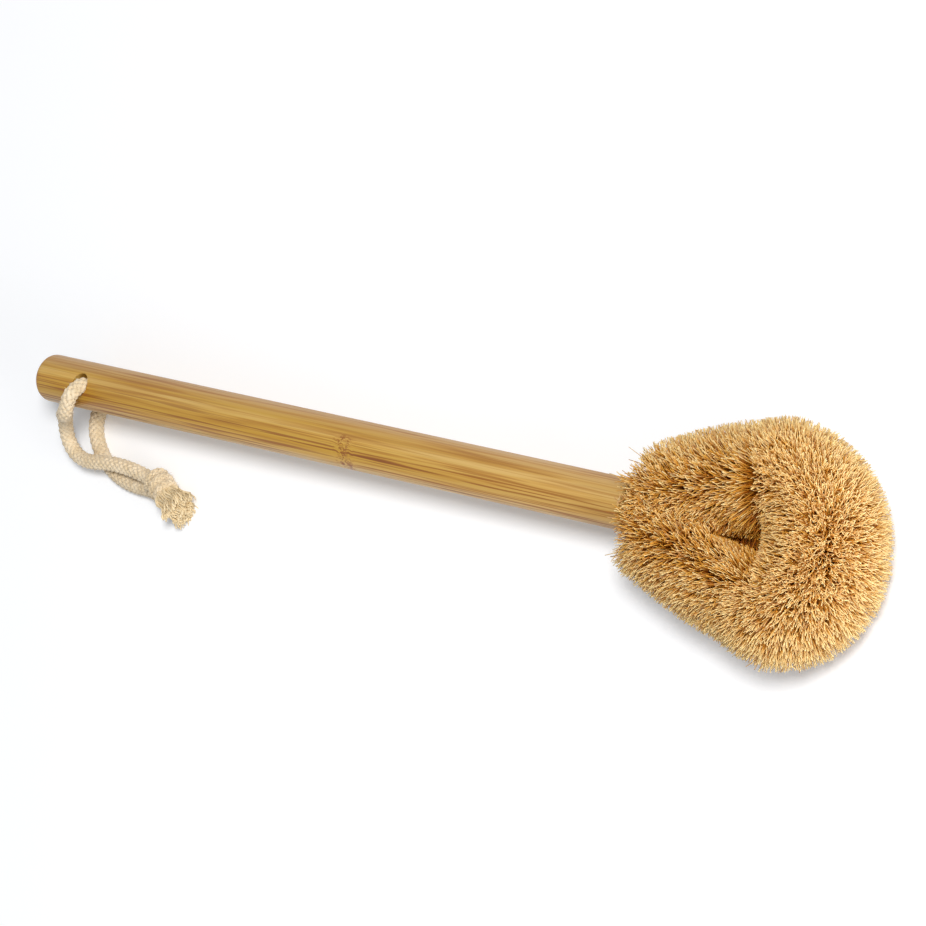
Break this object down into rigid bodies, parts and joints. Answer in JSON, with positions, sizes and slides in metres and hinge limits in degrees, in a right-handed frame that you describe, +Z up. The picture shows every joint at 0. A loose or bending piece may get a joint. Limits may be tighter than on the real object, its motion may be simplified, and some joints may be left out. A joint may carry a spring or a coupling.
{
  "type": "toilet brush",
  "caption": "Toilet brush with a long turned bamboo handle, a teardrop loop of coconut fibre bristles on twisted wire, and a knotted braided cotton cord for hanging.",
  "frame": {"origin": "centre of the brush's bounding box without its cord, on the surface that it lies on", "axes": "+X from the handle's tail to the bristle loop, +Z up from the surface, the cord lies on the -Y side"},
  "size_m": [0.4052, 0.0888, 0.0438],
  "materials": {
    "bamboo": "fine-sanded, oiled",
    "resin": "set resin",
    "wire": "galvanised",
    "coir": "raw fibre",
    "cotton": "undyed braid"
  },
  "bodies": {
    "root": {"handle": "bamboo", "resin_collar": "resin", "wire_strand_a": "wire", "wire_strand_b": "wire", "bristles_left_rear": "coir", "bristles_left_middle": "coir", "bristles_left_front": "coir", "bristles_tip": "coir", "bristles_right_front": "coir", "bristles_right_middle": "coir", "bristles_right_rear": "coir", "hanging_cord_top": "cotton", "hanging_cord_hole": "cotton", "hanging_cord_bottom": "cotton", "cord_knot": "cotton", "cord_frayed_end": "cotton"}
  },
  "joints": []
}
